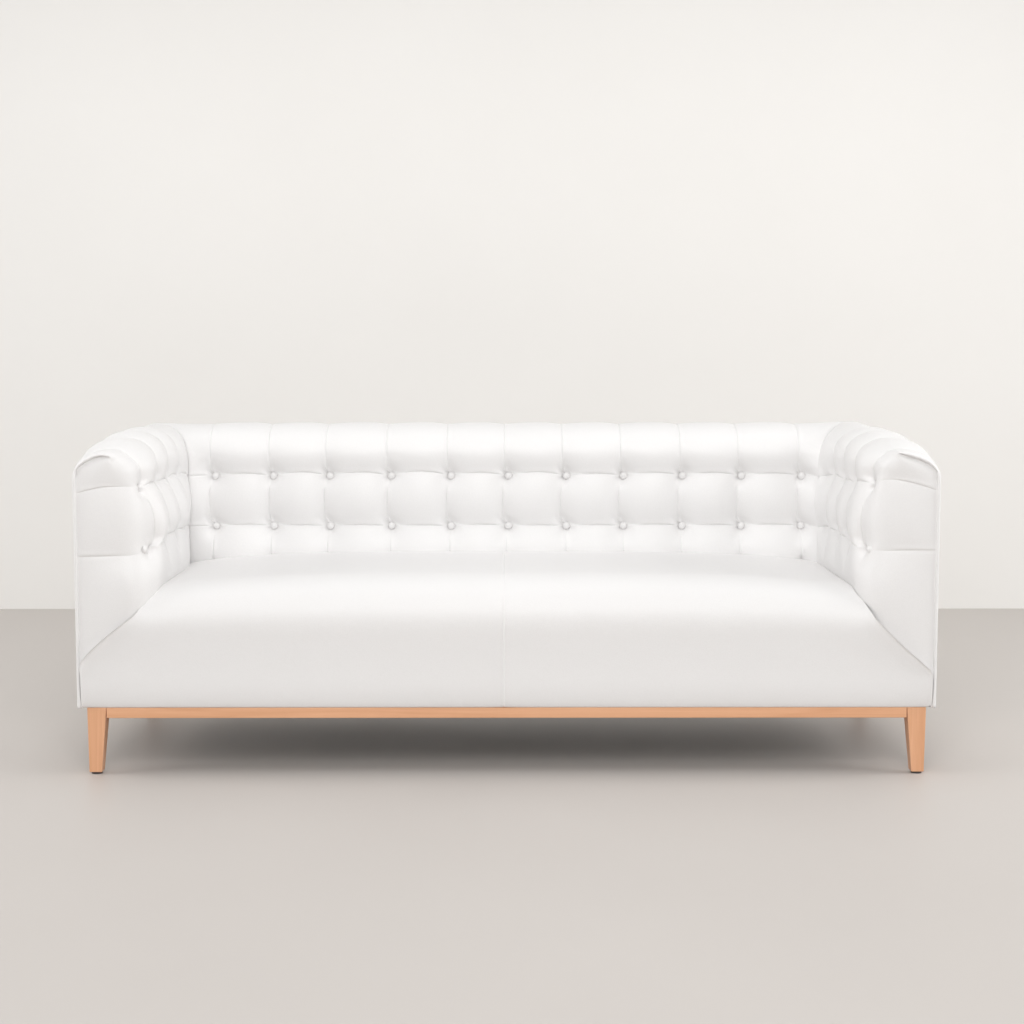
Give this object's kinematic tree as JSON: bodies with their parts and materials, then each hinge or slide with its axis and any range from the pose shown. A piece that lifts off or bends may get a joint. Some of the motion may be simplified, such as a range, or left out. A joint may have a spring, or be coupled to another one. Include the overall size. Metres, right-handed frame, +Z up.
{
  "type": "sofa",
  "caption": "Three-seat sofa in white leather, tufted arms and back of one height, tight crowned seat, low wooden base on tapered legs.",
  "frame": {"origin": "on the floor, under the middle of the sofa", "axes": "+X along the sofa to the sitter's left (the right of someone facing it), -Y out of its front, +Z up"},
  "size_m": [2.1, 0.8, 0.837],
  "materials": {
    "leather": "satin",
    "base_wood": "satin lacquer",
    "frame_wood": "bare",
    "liner_board": "bare fibreboard",
    "spring_steel": "drawn wire",
    "deck_felt": "needled felt",
    "dust_cloth": "non-woven cloth",
    "glide_plastic": "matt"
  },
  "bodies": {
    "root": {"back_left_end_post": "frame_wood", "back_left_middle_post": "frame_wood", "back_liner": "liner_board", "back_outside_panel": "leather", "back_pad": "leather", "back_right_end_post": "frame_wood", "back_right_middle_post": "frame_wood", "back_tacking_rail": "frame_wood", "back_top_rail": "frame_wood", "centre_seat_rail": "frame_wood", "dust_cover": "dust_cloth", "front_base_rail": "base_wood", "front_left_corner_block": "frame_wood", "front_left_glide": "glide_plastic", "front_left_leg": "base_wood", "front_right_corner_block": "frame_wood", "front_right_glide": "glide_plastic", "front_right_leg": "base_wood", "front_seat_rail": "frame_wood", "left_arm_front_post": "frame_wood", "left_arm_liner": "liner_board", "left_arm_pad": "leather", "left_arm_tacking_rail": "frame_wood", "left_arm_top_rail": "frame_wood", "left_arm_welt": "leather", "left_base_rail": "base_wood", "left_outside_panel": "leather", "left_seat_rail": "frame_wood", "rear_base_rail": "base_wood", "rear_frame_rail": "frame_wood", "rear_left_corner_block": "frame_wood", "rear_left_glide": "glide_plastic", "rear_left_leg": "base_wood", "rear_right_corner_block": "frame_wood", "rear_right_glide": "glide_plastic", "rear_right_leg": "base_wood", "rear_seat_rail": "frame_wood", "right_arm_front_post": "frame_wood", "right_arm_liner": "liner_board", "right_arm_pad": "leather", "right_arm_tacking_rail": "frame_wood", "right_arm_top_rail": "frame_wood", "right_arm_welt": "leather", "right_base_rail": "base_wood", "right_outside_panel": "leather", "right_seat_rail": "frame_wood", "seat_deck": "deck_felt", "seat_pad": "leather", "seat_spring_1": "spring_steel", "seat_spring_2": "spring_steel", "seat_spring_3": "spring_steel", "seat_spring_4": "spring_steel", "seat_spring_5": "spring_steel", "seat_spring_6": "spring_steel", "seat_spring_7": "spring_steel", "seat_spring_8": "spring_steel"}
  },
  "joints": []
}
